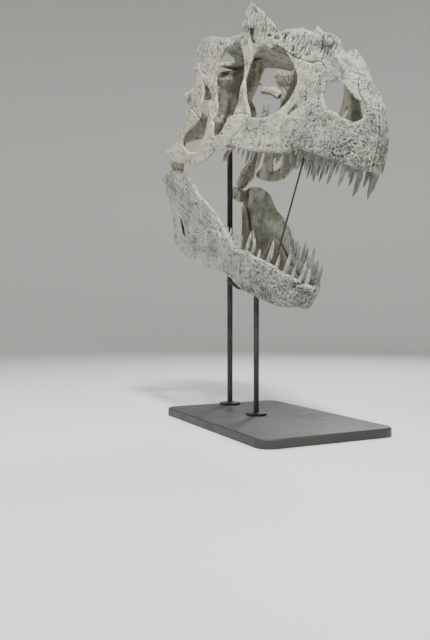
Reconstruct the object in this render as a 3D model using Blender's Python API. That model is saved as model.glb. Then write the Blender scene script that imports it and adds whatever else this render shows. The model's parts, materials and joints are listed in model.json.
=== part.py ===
"""Large theropod skull with gaping jaws, divided into its bones, on a low display stand.

Bones are laid out in millimetres in the skull's own frame: X to the snout, Y to the animal's left,
Z up, origin midway between the jaw joints. Every bone is then posed in the part's frame, in metres.
"""
import math
import random

import bmesh
import bpy
from mathutils import Matrix, Vector
from mathutils.geometry import delaunay_2d_cdt

# Pose of the skull
SKULL_PITCH_DEG = 13.2
SKULL_ROLL_DEG = -4.6
JAW_GAPE_DEG = 20.8
JOINT_HEIGHT = 790.0
JOINT_X = -404.0
JAW_PIVOT = (15.0, 0.0, 0.0)

# Bone
SUTURE_GAP = 0.3
PLATE_THICK = 11.0
BROW_THICK = 13.0
ROOT_DEPTH = 9.0
FRONT_ROUND = 46.0
JAW_ROUND = 28.0

# Stand
BASE_LENGTH = 620.0
BASE_WIDTH = 400.0
BASE_THICK = 24.0
BASE_CORNER = 36.0
REAR_ROD_RADIUS = 9.0
FRONT_ROD_RADIUS = 8.0

# Half width of the cranium, low on the side and high on the side, against X
LOW_WIDTH = [(-60, 186), (0, 182), (80, 170), (160, 158), (300, 143), (387, 131), (440, 117),
             (500, 104), (550, 93), (620, 84), (680, 75), (730, 67), (780, 62), (835, 58), (875, 54)]
HIGH_WIDTH = [(-60, 125), (0, 140), (100, 155), (195, 165), (260, 142), (300, 122), (370, 112),
              (430, 104), (470, 99), (550, 86), (600, 75), (650, 60), (700, 47), (760, 35), (875, 22)]
# X of the snout's midline profile against Z
SNOUT_PROFILE = [(-100, 850), (0, 858), (40, 864), (74, 867), (108, 866), (143, 858), (177, 845),
                 (193, 836), (212, 818), (227, 803), (259, 768), (281, 735), (300, 700), (500, 700)]
JAW_WIDTH = [(-60, 165), (0, 160), (100, 150), (200, 146), (300, 138), (400, 126), (500, 112),
             (600, 92), (680, 64), (740, 40), (780, 26), (815, 18)]
JAW_PROFILE = [(-200, 755), (-60, 768), (-39, 778), (4, 788), (30, 783), (60, 775), (200, 770)]

# Sutures shared by neighbouring bones, as (X, Z) on the right side
NARIS_REAR = [(702, 197), (696, 210), (694, 224)]
PREMAXILLA_MAXILLA = [(752, 166), (757, 150), (767, 125), (772, 98), (777, 75), (779, 57)]
PREMAXILLA_NASAL = [(766, 259), (779, 239), (795, 219), (808, 205), (821, 192)]
MAXILLA_NASAL = [(694, 226), (692, 242), (685, 262), (672, 280), (655, 290), (626, 290), (592, 298),
                 (556, 313), (521, 330)]
MAXILLA_JUGAL = [(366, 75), (384, 98), (408, 118), (428, 138), (441, 159)]
LACRIMAL_JUGAL = [(440, 165), (415, 169), (390, 169), (366, 167)]
JUGAL_POSTORBITAL = [(272, 152), (266, 164), (255, 181), (245, 197), (240, 207)]
JUGAL_QUADRATOJUGAL = [(191, 59), (195, 41), (200, 22)]
SQUAMOSAL_QUADRATOJUGAL = [(200, 158), (180, 170), (150, 184), (121, 195)]
SQUAMOSAL_POSTORBITAL = [(197, 263), (186, 280), (161, 302), (132, 330), (97, 337)]
LACRIMAL_POSTORBITAL = [(305, 396), (303, 384), (302, 368)]
DENTARY_REAR = [(433, 5), (444, -24), (456, -48), (468, -72), (482, -94), (490, -113)]
SURANGULAR_ANGULAR = [(425, -12), (407, -20), (385, -24), (368, -30), (346, -50), (330, -66), (314, -80),
                      (292, -86), (269, -99), (252, -114), (240, -130)]
SPLENIAL_PREARTICULAR = [(358, -136), (349, -100), (352, -65), (344, -40)]
SURANGULAR_ANGULAR_REAR = [(166, -92), (140, -84), (100, -70), (60, -58), (28, -52)]

scene = bpy.context.scene
for old in list(bpy.data.objects):
    bpy.data.objects.remove(old)
bones = bpy.data.collections.new("skull_bones")
stand = bpy.data.collections.new("display_stand")
scene.collection.children.link(bones)
scene.collection.children.link(stand)


def table(points, value):
    """Value read between the rows of a table."""
    if value <= points[0][0]:
        return float(points[0][1])
    for (low_x, low_y), (high_x, high_y) in zip(points, points[1:]):
        if value <= high_x:
            part = (value - low_x) / (high_x - low_x)
            return low_y + (high_y - low_y) * part
    return float(points[-1][1])


def smooth(low, high, value):
    """Soft step from 0 at low to 1 at high."""
    part = min(1.0, max(0.0, (value - low) / (high - low)))
    return part * part * (3.0 - 2.0 * part)


def skull_width(x, z):
    """Half width of the cranium before the snout is rounded off."""
    low = table(LOW_WIDTH, x)
    high = table(HIGH_WIDTH, x)
    return low + (high - low) * smooth(70.0, 330.0, z)


def jaw_width(x, z):
    """Half width of the lower jaw, leaning in towards its lower edge."""
    return table(JAW_WIDTH, x) - 0.12 * min(200.0, max(0.0, -30.0 - z))


class Side:
    """Right side surface of the cranium or jaw, unrolled around the blunt front."""

    def __init__(self, width, profile, rounding, relief, thickness):
        self.width = width
        self.profile = profile
        self.rounding = rounding
        self.relief = relief
        self.thickness = thickness

    def unroll(self, x, z):
        """Distance along the surface from the midline at the front."""
        back = max(0.0, table(self.profile, z) - x)
        if back < self.rounding:
            return math.acos(1.0 - back / self.rounding) * self.rounding
        return self.rounding * math.pi / 2.0 + back - self.rounding

    def place(self, along, z):
        """Point of the bare surface."""
        quarter = self.rounding * math.pi / 2.0
        if along < quarter:
            angle = max(0.0, along) / self.rounding
            back = self.rounding * (1.0 - math.cos(angle))
            side = math.sin(angle)
        else:
            back = self.rounding + along - quarter
            side = 1.0
        x = table(self.profile, z) - back
        return Vector((x, -self.width(x, z) * side, z))

    def normal(self, along, z):
        """Outward direction of the bare surface."""
        reach = 5.0
        low = max(0.0, along - reach)
        run = self.place(along + reach, z) - self.place(low, z)
        rise = self.place(along, z + reach) - self.place(along, z - reach)
        out = run.cross(rise)
        if out.y > 0.0 or (abs(out.y) < 1e-6 and out.x < 0.0):
            out.negate()
        if along < 1.0:
            out.y = 0.0
        return out.normalized()

    def outer(self, along, z, depth):
        """Point at a depth under the modelled skin."""
        bare = self.place(along, z)
        return bare + self.normal(along, z) * (self.relief(bare.x, z) - depth)

    def inner(self, along, z, rise):
        """Point of the inner face, raised towards the skin by rise."""
        bare = self.place(along, z)
        point = bare - self.normal(along, z) * (self.thickness(bare.x, z) - rise)
        point.y = min(point.y, -SUTURE_GAP / 2.0)
        return point


def bump(x, z, centre_x, centre_z, reach_x, reach_z, height):
    """Soft rounded swelling or hollow."""
    far = ((x - centre_x) / reach_x) ** 2 + ((z - centre_z) / reach_z) ** 2
    return height * math.exp(-far)


def skull_relief(x, z):
    """Hollows and swellings of the cranium's side."""
    height = 0.0
    height += bump(x, z, 615, 215, 42, 60, -5.0)
    height += bump(x, z, 560, 330, 60, 22, -2.5)
    height += bump(x, z, 735, 128, 55, 20, -4.0)
    height += bump(x, z, 735, 85, 60, 18, 4.0)
    height += bump(x, z, 640, 95, 70, 14, 2.5)
    height += bump(x, z, 815, 100, 30, 60, 2.5)
    height += bump(x, z, 165, 380, 60, 24, 6.0)
    height += bump(x, z, 250, 365, 40, 16, 4.0)
    height += bump(x, z, 225, 300, 26, 40, -4.0)
    height += bump(x, z, 100, 55, 90, 14, 3.0)
    height += bump(x, z, 330, 110, 60, 26, 3.0)
    height += bump(x, z, 330, 425, 20, 60, 5.0)
    height += bump(x, z, 430, 385, 40, 16, -4.0)
    return height


def jaw_relief(x, z):
    """Hollows and swellings of the lower jaw's side."""
    height = 0.0
    height += bump(x, z, 100, 6, 90, 22, 9.0)
    height += bump(x, z, 250, -45, 70, 26, -6.0)
    height += bump(x, z, 370, -10, 60, 18, 2.0)
    height += bump(x, z, 640, -30, 120, 26, 4.0)
    height += bump(x, z, 600, -5, 160, 9, -2.0)
    return height


def skull_thickness(x, z):
    """Plate thickness of the cranium, growing at the tooth row and in the brow over the eye."""
    gum = 10.0 * smooth(350.0, 400.0, x) * (1.0 - smooth(75.0, 125.0, z))
    brow = BROW_THICK * smooth(325.0, 375.0, z) * (1.0 - smooth(395.0, 470.0, z)) * (1.0 - smooth(395.0,
                                                                                                  435.0, x))
    return PLATE_THICK + gum + brow


def jaw_thickness(x, z):
    """Plate thickness of the jaw, growing at the tooth row."""
    return PLATE_THICK + 9.0 * smooth(420.0, 470.0, x) * smooth(-60.0, -15.0, z)


CRANIUM = Side(skull_width, SNOUT_PROFILE, FRONT_ROUND, skull_relief, skull_thickness)
JAW = Side(jaw_width, JAW_PROFILE, JAW_ROUND, jaw_relief, jaw_thickness)


def is_inside(point, loop):
    """Whether a point of the plane lies within a closed outline."""
    found = False
    px, py = point
    for (ax, ay), (bx, by) in zip(loop, loop[1:] + loop[:1]):
        if (ay > py) != (by > py) and px < (bx - ax) * (py - ay) / (by - ay) + ax:
            found = not found
    return found


def edge_distance(point, loop):
    """Distance from a point of the plane to an outline."""
    nearest = 1e9
    p = Vector(point)
    for a, b in zip(loop, loop[1:] + loop[:1]):
        start = Vector(a)
        run = Vector(b) - start
        part = min(1.0, max(0.0, (p - start).dot(run) / max(1e-9, run.length_squared)))
        nearest = min(nearest, (p - start - run * part).length)
    return nearest


def area(loop):
    """Signed area of an outline."""
    return 0.5 * sum(a[0] * b[1] - b[0] * a[1] for a, b in zip(loop, loop[1:] + loop[:1]))


def shrink(loop, amount):
    """Outline moved inwards by an amount."""
    sign = 1.0 if area(loop) > 0.0 else -1.0
    moved = []
    count = len(loop)
    for index, point in enumerate(loop):
        before = (Vector(point) - Vector(loop[index - 1])).normalized()
        after = (Vector(loop[(index + 1) % count]) - Vector(point)).normalized()
        normal_a = Vector((-before.y, before.x)) * sign
        normal_b = Vector((-after.y, after.x)) * sign
        middle = (normal_a + normal_b).normalized()
        stretch = min(2.0, 1.0 / max(0.3, middle.dot(normal_a)))
        moved.append(tuple(Vector(point) + middle * amount * stretch))
    return moved


def new_object(name, mesh, home):
    """Object in a collection."""
    made = bpy.data.objects.new(name, mesh)
    home.objects.link(made)
    return made


def mesh_from(name, points, faces):
    """Closed mesh with outward faces."""
    work = bmesh.new()
    made = [work.verts.new(point) for point in points]
    for face in faces:
        corners = [made[index] for index in face]
        if len(set(corners)) >= 3:
            work.faces.new(corners)
    bmesh.ops.remove_doubles(work, verts=work.verts, dist=1e-4)
    bmesh.ops.triangulate(work, faces=work.faces)
    bmesh.ops.recalc_face_normals(work, faces=work.faces)
    mesh = bpy.data.meshes.new(name)
    work.to_mesh(mesh)
    work.free()
    return mesh


def triangulate(loops, extra):
    """Triangles of an outline with holes, through extra points."""
    points = []
    edges = []
    for loop in loops:
        start = len(points)
        points += [Vector(point) for point in loop]
        edges += [(start + i, start + (i + 1) % len(loop)) for i in range(len(loop))]
    points += [Vector(point) for point in extra]
    verts, _, faces, origins, _, _ = delaunay_2d_cdt(points, edges, [], 0, 1e-4)
    kept = []
    for face in faces:
        middle = sum((verts[index] for index in face), Vector((0.0, 0.0))) / len(face)
        if abs(area([tuple(verts[index]) for index in face])) < 0.05:
            continue
        if is_inside(middle, loops[0]) and not any(is_inside(middle, hole) for hole in loops[1:]):
            kept.append(tuple(face))
    return [tuple(vert) for vert in verts], kept, [source[0] if source else -1 for source in origins]


def sheet(name, loops, outer, inner, inset, step):
    """Closed plate between an outer and an inner face, given its outline and holes."""
    border = sum(len(loop) for loop in loops)
    ring = []
    for number, loop in enumerate(loops):
        for point in shrink(loop, inset if number == 0 else -inset):
            near = min(edge_distance(point, other) for other in loops)
            if near > 0.75 * inset and is_inside(point, loops[0]):
                ring.append(point)
    spread = []
    low_x = min(point[0] for point in loops[0])
    high_x = max(point[0] for point in loops[0])
    low_y = min(point[1] for point in loops[0])
    high_y = max(point[1] for point in loops[0])
    for column in range(int((high_x - low_x) / step) + 1):
        for row in range(int((high_y - low_y) / step) + 1):
            point = (low_x + (column + 0.5) * step, low_y + (row + 0.5) * step)
            if not is_inside(point, loops[0]) or any(is_inside(point, hole) for hole in loops[1:]):
                continue
            if min(edge_distance(point, loop) for loop in loops) > inset + 0.45 * step:
                spread.append(point)
    flat = [point for loop in loops for point in loop]
    front_points, front_faces, front_ids = triangulate(loops, ring + spread)
    back_points, back_faces, back_ids = triangulate(loops, spread)
    points = []
    for point, source in zip(front_points, front_ids):
        points.append(outer(point, 0 <= source < border))
    shift = len(points)
    for point, source in zip(back_points, back_ids):
        points.append(inner(point, 0 <= source < border))
    faces = [face for face in front_faces]
    faces += [tuple(shift + index for index in reversed(face)) for face in back_faces]
    front_at = {source: index for index, source in enumerate(front_ids)}
    back_at = {source: index for index, source in enumerate(back_ids)}
    start = 0
    for loop in loops:
        count = len(loop)
        for i in range(count):
            a = start + i
            b = start + (i + 1) % count
            faces.append((front_at[a], front_at[b], shift + back_at[b], shift + back_at[a]))
        start += count
    if len(flat) != border:
        raise ValueError(name)
    return mesh_from(name, points, faces)


def plate(name, side, outline, holes=(), inset=4.5, step=30.0, rim=1.6, back_rim=3.0, gap=SUTURE_GAP):
    """Bone plate on the side surface from (X, Z) outlines."""
    loops = []
    for number, loop in enumerate([outline] + list(holes)):
        flat = [(side.unroll(x, z), z) for x, z in loop]
        loops.append(shrink(flat, gap / 2.0) if number == 0 else flat)

    def outer(point, at_border):
        return side.outer(point[0], point[1], rim if at_border else 0.0)

    def inner(point, at_border):
        return side.inner(point[0], point[1], back_rim if at_border else 0.0)

    return sheet(name, loops, outer, inner, inset, step)


def loft(name, sections):
    """Closed mesh through rings with equal numbers of points."""
    points = [Vector(point) for ring in sections for point in ring]
    count = len(sections[0])
    faces = [tuple(range(count))]
    for number in range(len(sections) - 1):
        low = number * count
        for i in range(count):
            j = (i + 1) % count
            faces.append((low + i, low + j, low + count + j, low + count + i))
    last = (len(sections) - 1) * count
    faces.append(tuple(last + i for i in reversed(range(count))))
    return mesh_from(name, points, faces)


def tube(name, spine, sides=8):
    """Bar through (point, radius across, radius along, twist direction) stations."""
    rings = []
    for index, (centre, wide, deep, across) in enumerate(spine):
        before = Vector(spine[max(0, index - 1)][0])
        after = Vector(spine[min(len(spine) - 1, index + 1)][0])
        run = (after - before).normalized()
        first = Vector(across)
        first = (first - run * first.dot(run)).normalized()
        second = run.cross(first)
        ring = []
        for k in range(sides):
            angle = 2.0 * math.pi * k / sides
            ring.append(Vector(centre) + first * wide * math.cos(angle) + second * deep * math.sin(angle))
        rings.append(ring)
    return loft(name, rings)


def ball(name, centre, radii, rings=6, sides=10):
    """Closed ellipsoid."""
    stack = []
    for r in range(1, rings):
        polar = math.pi * r / rings
        ring = []
        for k in range(sides):
            turn = 2.0 * math.pi * k / sides
            ring.append((centre[0] + radii[0] * math.sin(polar) * math.cos(turn),
                         centre[1] + radii[1] * math.sin(polar) * math.sin(turn),
                         centre[2] + radii[2] * math.cos(polar)))
        stack.append(ring)
    return loft(name, stack)


def tooth(name, base, tip, width, thick, lean):
    """Curved, flattened tooth with its root sunk in the bone."""
    root = Vector(base)
    run = Vector(tip) - root
    length = run.length
    axis = run.normalized()
    back = Vector(lean)
    back = (back - axis * back.dot(axis)).normalized()
    across = axis.cross(back)
    rings = []
    for part, scale in ((0.0, 0.92), (0.32, 1.0), (0.74, 0.66)):
        bend = math.sin(math.pi * part) * length * 0.07
        centre = root + axis * length * part - back * bend
        ring = []
        for k in range(6):
            angle = 2.0 * math.pi * k / 6.0
            ring.append(centre + back * (width * scale * 0.5 * math.cos(angle))
                        + across * (thick * scale * 0.5 * math.sin(angle)))
        rings.append(ring)
    points = [point for ring in rings for point in ring] + [Vector(tip)]
    faces = [tuple(range(6))]
    for low in (0, 6):
        for i in range(6):
            j = (i + 1) % 6
            faces.append((low + i, low + j, low + 6 + j, low + 6 + i))
    faces += [(12 + i, 12 + (i + 1) % 6, 18) for i in range(6)]
    return mesh_from(name, points, faces)


def fuse(name, main, others):
    """One closed surface from a mesh and the closed meshes that grow from it."""
    if not others:
        return main
    work = bpy.data.collections.new(name + "_pieces")
    scene.collection.children.link(work)
    pieces = []
    for number, mesh in enumerate(others):
        pieces.append(new_object("%s_piece_%d" % (name, number), mesh, work))
    whole = new_object(name + "_whole", main, scene.collection)
    joining = whole.modifiers.new("union", "BOOLEAN")
    joining.operation = "UNION"
    joining.operand_type = "COLLECTION"
    joining.collection = work
    for solver in ("MANIFOLD", "EXACT"):
        joining.solver = solver
        graph = bpy.context.evaluated_depsgraph_get()
        graph.update()
        result = largest(bpy.data.meshes.new_from_object(whole.evaluated_get(graph)))
        if is_closed(result) and len(result.polygons) > len(main.polygons):
            break
    result.name = name
    bpy.data.objects.remove(whole)
    for piece in pieces:
        bpy.data.objects.remove(piece)
    bpy.data.collections.remove(work)
    return result


def is_closed(mesh):
    """Whether every edge has two faces."""
    work = bmesh.new()
    work.from_mesh(mesh)
    closed = all(len(edge.link_faces) == 2 for edge in work.edges)
    work.free()
    return closed


def largest(mesh):
    """Keeps the biggest closed surface of a mesh."""
    work = bmesh.new()
    work.from_mesh(mesh)
    bmesh.ops.remove_doubles(work, verts=work.verts, dist=0.02)
    bmesh.ops.dissolve_degenerate(work, edges=work.edges, dist=0.02)
    bmesh.ops.triangulate(work, faces=work.faces)
    left = set(work.faces)
    groups = []
    while left:
        queue = [left.pop()]
        group = list(queue)
        while queue:
            face = queue.pop()
            for edge in face.edges:
                for other in edge.link_faces:
                    if other in left:
                        left.discard(other)
                        queue.append(other)
                        group.append(other)
        groups.append(group)
    groups.sort(key=len)
    spare = [face for group in groups[:-1] for face in group]
    if spare:
        bmesh.ops.delete(work, geom=spare, context="FACES")
    loose = [vert for vert in work.verts if not vert.link_faces]
    bmesh.ops.delete(work, geom=loose, context="VERTS")
    bmesh.ops.recalc_face_normals(work, faces=work.faces)
    work.to_mesh(mesh)
    work.free()
    return mesh


def material(name, colour, roughness, metallic=0.0):
    """Plain surface material."""
    made = bpy.data.materials.new(name)
    made.use_nodes = True
    shader = made.node_tree.nodes["Principled BSDF"]
    shader.inputs["Base Color"].default_value = colour
    shader.inputs["Roughness"].default_value = roughness
    shader.inputs["Metallic"].default_value = metallic
    return made


TO_METRES = Matrix.Scale(0.001, 4)
POSE = (Matrix.Translation((JOINT_X / 1000.0, 0.0, JOINT_HEIGHT / 1000.0))
        @ Matrix.Rotation(math.radians(SKULL_PITCH_DEG), 4, "Y")
        @ Matrix.Rotation(math.radians(SKULL_ROLL_DEG), 4, "X") @ TO_METRES)
JAW_POSE = (POSE @ Matrix.Translation(JAW_PIVOT)
            @ Matrix.Rotation(math.radians(JAW_GAPE_DEG), 4, "Y")
            @ Matrix.Translation([-value for value in JAW_PIVOT]))
MIRROR = Matrix.Diagonal((1.0, -1.0, 1.0, 1.0))
STAND_POSE = TO_METRES
UPPER_BONE = material("skull_bone", (0.62, 0.60, 0.54, 1.0), 0.7)
LOWER_BONE = material("jaw_bone", (0.60, 0.58, 0.50, 1.0), 0.7)
INNER_BONE = material("inner_bone", (0.50, 0.46, 0.38, 1.0), 0.75)
STAND_PAINT = material("stand_paint", (0.03, 0.03, 0.035, 1.0), 0.5)
STAND_STEEL = material("stand_steel", (0.25, 0.25, 0.26, 1.0), 0.35, 1.0)


def bone(name, mesh, pose, look, mirrored=True):
    """Places a bone, and its mirror image on the left where it is paired."""
    mesh.materials.clear()
    mesh.materials.append(look)
    if not mirrored:
        new_object(name, mesh, bones).matrix_world = pose
        return
    new_object(name + "_r", mesh, bones).matrix_world = pose
    new_object(name + "_l", mesh, bones).matrix_world = pose @ MIRROR


def tooth_row(name, side, rows, down, seed):
    """Teeth along a margin, each row giving margin X and Z, length, width and rake."""
    spread = random.Random(seed)
    made = []
    sign = -1.0 if down else 1.0
    for number, (x, z, length, width, rake) in enumerate(rows):
        along = side.unroll(x, z)
        normal = side.normal(along, z)
        thick = side.thickness(x, z)
        bare = side.place(along, z)
        base = bare - normal * (thick * 0.5) + Vector((0.0, 0.0, -sign * ROOT_DEPTH))
        tip = bare - normal * (thick * 0.5) + Vector((rake, 0.0, sign * length))
        tip += Vector((spread.uniform(-1.5, 1.5), spread.uniform(-1.5, 1.5), 0.0))
        run = side.place(along + 4.0, z) - side.place(max(0.0, along - 4.0), z)
        made.append(tooth("%s_%d" % (name, number), base, tip, width, width * 0.74, run))
    return made


def build_premaxilla():
    """Tip of the snout with its front teeth."""
    heights = (60, 85, 108, 130, 150, 168, 182, 193, 204, 216, 227, 242, 256)
    outline = [(table(SNOUT_PROFILE, z), z) for z in heights]
    outline = [(864, 38)] + outline + PREMAXILLA_NASAL
    outline += [(829, 184), (835, 170), (840, 154), (834, 144), (826, 141), (808, 145), (789, 150),
                (770, 157)]
    outline += PREMAXILLA_MAXILLA
    outline += [(790, 53), (804, 51), (822, 48), (838, 44), (850, 40), (858, 38)]
    body = plate("premaxilla", CRANIUM, outline, step=24.0)
    rows = [(858, 40, 68, 17, -8), (845, 43, 32, 11, -6), (826, 47, 56, 16, -10), (805, 50, 28, 11, -7),
            (787, 54, 50, 15, -10)]
    return fuse("premaxilla", body, tooth_row("premaxilla_tooth", CRANIUM, rows, True, 3))


def build_maxilla():
    """Main tooth bearing bone of the upper jaw."""
    outline = list(PREMAXILLA_MAXILLA)
    outline += [(755, 59), (732, 63), (711, 67), (692, 73), (674, 78), (653, 75), (632, 71), (610, 68),
                (586, 67),
                (560, 66), (535, 67), (508, 67), (483, 68), (458, 70), (432, 74), (408, 79), (384, 82)]
    outline += MAXILLA_JUGAL
    outline += [(458, 157), (476, 155), (507, 157), (528, 163), (548, 173), (573, 193), (588, 216),
                (594, 240),
                (592, 256), (580, 275), (560, 296), (540, 314)]
    outline += list(reversed(MAXILLA_NASAL))
    outline += list(reversed(NARIS_REAR))
    outline += [(710, 185), (721, 176), (736, 169)]
    slit = [(588, 158), (600, 167), (616, 180), (630, 194), (634, 203), (624, 204), (610, 194), (594, 178),
            (584, 165)]
    body = plate("maxilla", CRANIUM, outline, [slit], step=28.0)
    rows = [(396, 81, 18, 8, -4), (415, 78, 25, 9, -5), (435, 74, 28, 10, -6), (457, 70, 44, 12, -8),
            (480, 68, 34, 11, -7), (504, 67, 52, 14, -9), (529, 67, 36, 12, -8), (554, 66, 52, 14, -10),
            (579, 67, 34, 12, -8), (605, 68, 60, 16, -11), (633, 71, 34, 12, -8), (664, 77, 56, 16, -11),
            (695, 72, 32, 12, -8), (727, 63, 58, 16, -11), (757, 59, 38, 13, -8)]
    return fuse("maxilla", body, tooth_row("maxilla_tooth", CRANIUM, rows, True, 5))


def nasal_ring(x, low, crest_y, crest, middle, width):
    """Ring of the nasal at one station, from its outer lower edge over the crest to the midline."""
    rise = crest - low
    return [
        (x, -width, low),
        (x, -(width * 0.72 + crest_y * 0.28), low + rise * 0.42),
        (x, -(crest_y + 13.0), crest - rise * 0.20),
        (x, -(crest_y + 4.0), crest - 2.0),
        (x, -(crest_y - 5.0), crest),
        (x, -(crest_y - 16.0), crest - min(16.0, (crest - middle) * 0.5)),
        (x, -12.0, middle + 4.0),
        (x, -0.3, middle),
        (x, -0.3, middle - 13.0),
        (x, -(crest_y - 10.0), middle - 13.0),
        (x, -(width - 11.0), low),
    ]


def build_nasal(name, crest_line):
    """Roof of the snout with its rugged crest, and the bar over the nostril."""
    middle_line = [(430, 352), (480, 352), (520, 347), (600, 333), (653, 317), (700, 298), (725, 281),
                   (750, 262)]
    low_line = [(430, 352), (509.4, 346), (511, 335), (521, 330), (556, 313), (592, 298), (626, 290),
                (655, 290),
                (672, 280), (685, 262), (692, 242), (700, 238), (717, 241), (743, 235), (750, 230)]
    rings = []
    for x in (430, 462, 509.4, 511.4, 540, 556, 580, 592, 612, 626, 642, 655, 672, 685, 692, 702, 717,
              732, 748):
        low = table(low_line, x) + SUTURE_GAP
        width = skull_width(x, low)
        if x < 510:
            width = skull_width(x, low) - 20.0
        crest_y = min(table([(430, 62), (520, 58), (600, 50), (700, 40), (750, 26)], x), width - 14.0)
        rings.append(nasal_ring(x, low, crest_y, table(crest_line, x), table(middle_line, x), width))
    roof = loft(name, rings)
    bar = [(701, 237), (717, 241), (743, 235), (772, 215), (801, 198), (820, 190)]
    bar += list(reversed(PREMAXILLA_NASAL)) + [(752, 262), (735, 262), (718, 262), (700, 258)]
    return fuse(name, roof, [plate(name + "_bar", CRANIUM, bar, step=40.0)])


def build_lacrimal():
    """Bar in front of the eye with the horn on top."""
    outline = list(LACRIMAL_JUGAL)
    outline += [(372, 188), (374, 206), (369, 222), (364, 236), (365, 252), (366, 267), (363, 285),
                (357, 305),
                (346, 325), (336, 341), (327, 353), (318, 366)]
    outline += list(reversed([(308, 396), (306, 384), (305, 370)]))
    outline += [(312, 412), (321, 436), (320, 458), (338, 474), (388, 445), (443, 411), (502, 366),
                (509, 352),
                (509, 336)]
    outline += [(486, 343), (461, 350), (430, 351), (404, 345), (390, 328), (384, 305), (379, 285),
                (377, 266),
                (384, 248), (394, 231), (408, 206), (430, 181)]
    slot = [(350, 402), (366, 405), (384, 388), (389, 366), (382, 350), (372, 356), (358, 374)]
    return plate("lacrimal", CRANIUM, outline, [slot], inset=3.5, step=26.0)


def build_jugal():
    """Cheek bone under the eye."""
    outline = list(JUGAL_QUADRATOJUGAL)
    outline += [(215, 23), (240, 28), (261, 33), (280, 42), (291, 48), (308, 63), (330, 65), (352, 68)]
    outline += MAXILLA_JUGAL
    outline += LACRIMAL_JUGAL
    outline += [(352, 163), (341, 158), (338, 145), (333, 123), (318, 108), (300, 103), (290, 108),
                (284, 122),
                (278, 138)]
    outline += JUGAL_POSTORBITAL
    outline += [(231, 205), (236, 190), (243, 167), (245, 132), (237, 103), (222, 76), (206, 64)]
    return plate("jugal", CRANIUM, outline, inset=4.0, step=28.0)


def build_quadratojugal():
    """Lower rear corner of the cheek."""
    outline = list(JUGAL_QUADRATOJUGAL)
    outline = list(reversed(outline))
    outline += [(165, 57), (137, 66), (114, 80), (110, 95), (119, 110), (135, 123), (152, 132), (174, 143),
                (190, 149)]
    outline += SQUAMOSAL_QUADRATOJUGAL
    outline += [(112, 172), (102, 147), (88, 119), (69, 88), (51, 67), (22, 59), (3, 48), (15, 37),
                (35, 32),
                (62, 27), (89, 24), (120, 22), (147, 21), (175, 21)]
    return plate("quadratojugal", CRANIUM, outline, inset=4.0, step=28.0)


def build_squamosal():
    """Upper rear corner of the skull."""
    outline = list(SQUAMOSAL_POSTORBITAL)
    outline += [(104, 322), (116, 303), (124, 285), (126, 268), (113, 248), (123, 222)]
    outline += list(reversed(SQUAMOSAL_QUADRATOJUGAL))
    outline += [(202, 182), (206, 212), (205, 240)]
    body = plate("squamosal", CRANIUM, outline, inset=4.0, step=28.0)
    arm = tube("squamosal_arm", [((122, -150, 302), 12, 18, (1, 0, 0)), ((96, -134, 316), 12, 16,
                                                                         (1, 0, 0)),
                                 ((64, -106, 312), 9, 11, (1, 0, 0))])
    return fuse("squamosal", body, [arm])


def build_postorbital():
    """Bar behind the eye."""
    outline = list(LACRIMAL_POSTORBITAL)
    outline += [(287, 361), (264, 351), (251, 326), (247, 302), (249, 278), (255, 255), (261, 236),
                (270, 214),
                (278, 195), (281, 176), (277, 158)]
    outline += JUGAL_POSTORBITAL
    outline += [(246, 215), (240, 228), (228, 242), (214, 254), (202, 262)]
    outline += SQUAMOSAL_POSTORBITAL
    outline += [(80, 352), (78, 366), (92, 377), (112, 384), (140, 391), (165, 394), (190, 394), (211, 393),
                (240, 388), (267, 385), (285, 390)]
    return plate("postorbital", CRANIUM, outline, inset=4.5, step=28.0)


def build_skull_roof():
    """Frontals and parietals as one plate with the two upper temporal openings beside the parietals."""
    half = [(428.5, 78), (400, 79), (370, 84), (335, 88), (309, 92), (296, 95), (268, 109), (240, 122),
            (212, 134), (196, 136), (189, 124), (184, 92), (168, 60), (140, 44), (108, 42), (86, 56),
            (76, 92),
            (70, 104), (50, 104), (40, 50)]
    outline = [(x, -y) for x, y in half] + [(x, y) for x, y in reversed(half)]

    def height(x, y):
        top = table([(40, 372), (80, 368), (140, 366), (200, 386), (300, 388), (360, 379), (430, 355)], x)
        wing = smooth(40.0, 104.0, abs(y)) * (1.0 - smooth(84.0, 130.0, x))
        return top - 2.0 * smooth(20.0, 140.0, abs(y)) - 26.0 * wing

    def outer(point, at_border):
        return Vector((point[0], point[1], height(*point) - (3.0 if at_border else 0.0)))

    def inner(point, at_border):
        return Vector((point[0], point[1], height(*point) - (14.0 if at_border else 17.0)))

    return sheet("skull_roof", [outline], outer, inner, 6.0, 30.0)


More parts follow.
